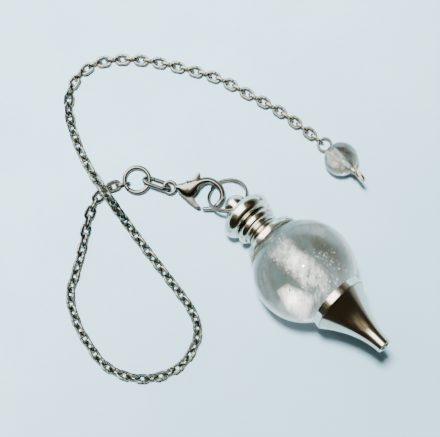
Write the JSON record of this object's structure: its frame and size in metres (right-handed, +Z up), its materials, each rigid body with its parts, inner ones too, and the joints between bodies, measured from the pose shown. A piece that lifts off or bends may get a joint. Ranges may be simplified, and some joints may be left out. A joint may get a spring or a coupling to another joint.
{
  "type": "crystal ball dowsing pendulum",
  "caption": "Clear quartz ball held between a turned metal cap and a flared metal cone point, hung from a split ring, lobster clasp and cable chain that ends in a small clear bead.",
  "frame": {"origin": "on the surface that the pendulum lies on, under the middle of the whole layout", "axes": "+X to the right of the layout, towards the cone point; +Y up the layout, away from the chain's loop; +Z up, away from the surface"},
  "size_m": [0.0614, 0.0632, 0.0195],
  "materials": {
    "quartz": "polished clear stone with white veils",
    "bead_quartz": "polished clear stone, a little grey",
    "polished_plating": "bright silver plating with fine wear",
    "finding_plating": "silver plating, a little dulled",
    "chain_plating": "silver plating with dark tarnish between the links"
  },
  "bodies": {
    "main": {"quartz_ball": "quartz", "cone_point": "polished_plating", "top_cap": "polished_plating", "split_ring": "finding_plating", "clasp_body": "finding_plating", "clasp_pin": "finding_plating", "oval_link": "finding_plating", "jump_ring": "finding_plating", "chain": "chain_plating", "end_bead": "bead_quartz", "eye_pin": "finding_plating"},
    "lever": {"clasp_lever": "finding_plating"}
  },
  "joints": [
    {"name": "lever_hinge", "type": "hinge", "parent": "main", "child": "lever", "pos_m": [-0.00692, 0.00566, 0.0016], "axis": [-0.0811, -0.061, 0.9948], "range_deg": [0, 22], "stiffness_Nm_per_rad": 0.0002, "springref_deg": -11.46}
  ]
}
